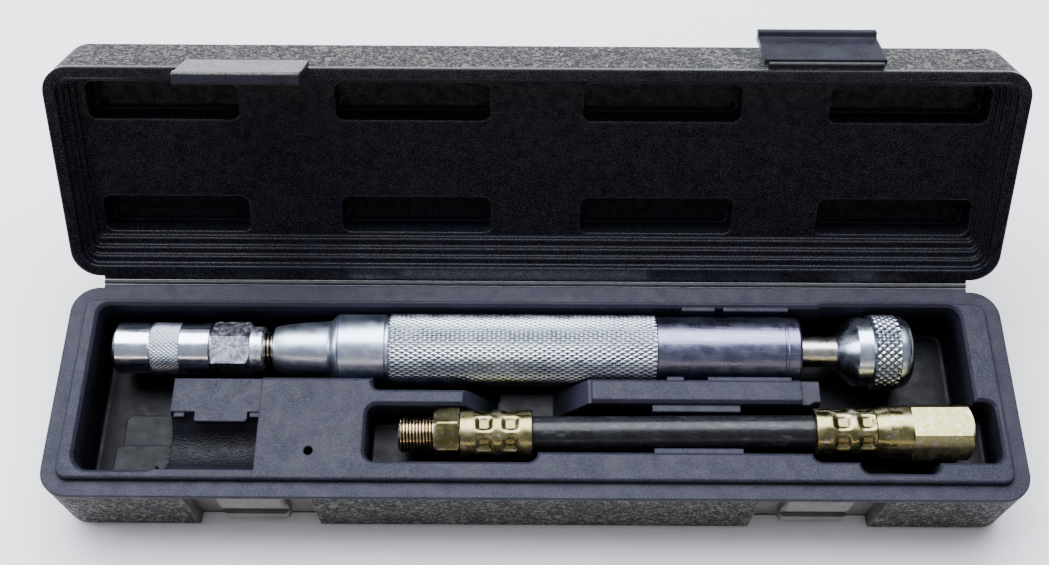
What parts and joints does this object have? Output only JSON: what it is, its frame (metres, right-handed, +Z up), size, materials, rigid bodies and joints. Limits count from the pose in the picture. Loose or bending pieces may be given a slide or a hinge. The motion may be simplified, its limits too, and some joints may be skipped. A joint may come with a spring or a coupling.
{
  "type": "hand pump kit in a case",
  "caption": "Straight hand-operated grease and fluid pump with a coupler, knurled barrel and striking knob, with a short whip hose, in a hinged moulded case with two latches.",
  "frame": {"origin": "centre of the case's flat underside, on the surface it stands on", "axes": "+X along the case towards the striking knob, +Y towards the hinge, +Z up"},
  "size_m": [0.28, 0.1258, 0.0951],
  "materials": {
    "case_grain": "coarse wrinkle grain",
    "case_tray": "satin",
    "case_film": "satin",
    "lid_lining": "glossy",
    "latch_plastic": "satin",
    "barrel_steel": "bright with a matt knurl",
    "nose_steel": "turned, satin",
    "rod_steel": "satin",
    "knob_steel": "turned",
    "hard_steel": "ground",
    "spring_steel": "bright",
    "coupler_chrome": "polished",
    "yellow_zinc": "yellow passivated zinc",
    "hose_rubber": "satin",
    "seal_rubber": "matt",
    "braid_wire": "wire braid"
  },
  "bodies": {
    "base": {"base_shell": "case_grain", "base_tray": "case_tray", "hinge_film": "case_film"},
    "lid": {"lid_shell": "case_grain", "lid_liner": "lid_lining", "latch_film_left": "case_film", "latch_film_right": "case_film"},
    "left_latch": {"latch_left": "latch_plastic"},
    "right_latch": {"latch_right": "latch_plastic"},
    "pump": {"barrel": "barrel_steel", "nose": "nose_steel", "valve_seat": "hard_steel", "check_spring": "spring_steel", "end_gland": "nose_steel", "rod_seal": "seal_rubber", "coupler_sleeve": "coupler_chrome", "coupler_body": "coupler_chrome", "coupler_spring": "spring_steel"},
    "plunger": {"plunger_rod": "rod_steel", "piston": "hard_steel", "piston_seals": "seal_rubber", "strike_knob": "knob_steel"},
    "jaws": {"coupler_jaws": "hard_steel", "jaw_ring": "hard_steel", "coupler_seal": "seal_rubber", "coupler_piston": "hard_steel"},
    "ball": {"check_ball": "hard_steel"},
    "hose": {"hose_cover": "hose_rubber", "hose_braid": "braid_wire", "hose_liner": "seal_rubber", "male_fitting": "yellow_zinc", "male_ferrule": "yellow_zinc", "female_fitting": "yellow_zinc", "female_ferrule": "yellow_zinc"}
  },
  "joints": [
    {"name": "lid_hinge", "type": "hinge", "parent": "base", "child": "lid", "pos_m": [0, 0.035, 0.02715], "axis": [-1, 0, 0], "range_deg": [-124, 56]},
    {"name": "left_latch_hinge", "type": "hinge", "parent": "lid", "child": "left_latch", "pos_m": [-0.0813, 0.07564, 0.08321], "axis": [-1, 0, 0], "range_deg": [-5.5, 168.5]},
    {"name": "right_latch_hinge", "type": "hinge", "parent": "lid", "child": "right_latch", "pos_m": [0.0813, 0.07564, 0.08321], "axis": [-1, 0, 0], "range_deg": [-172, 2]},
    {"name": "pump_lift", "type": "slide", "parent": "base", "child": "pump", "axis": [0, 0, 1], "range_m": [0, 0.12]},
    {"name": "plunger_slide", "type": "slide", "parent": "pump", "child": "plunger", "axis": [1, 0, 0], "range_m": [-0.0108, 0.0145]},
    {"name": "jaw_slide", "type": "slide", "parent": "pump", "child": "jaws", "axis": [1, 0, 0], "range_m": [0, 0.002], "stiffness_N_per_m": 1500, "springref_m": -0.002, "deforming": ["coupler_spring"]},
    {"name": "ball_slide", "type": "slide", "parent": "pump", "child": "ball", "axis": [-1, 0, 0], "range_m": [0, 0.0012], "stiffness_N_per_m": 200, "springref_m": -0.002, "deforming": ["check_spring"]},
    {"name": "hose_lift", "type": "slide", "parent": "base", "child": "hose", "axis": [0, 0, 1], "range_m": [0, 0.12]}
  ]
}
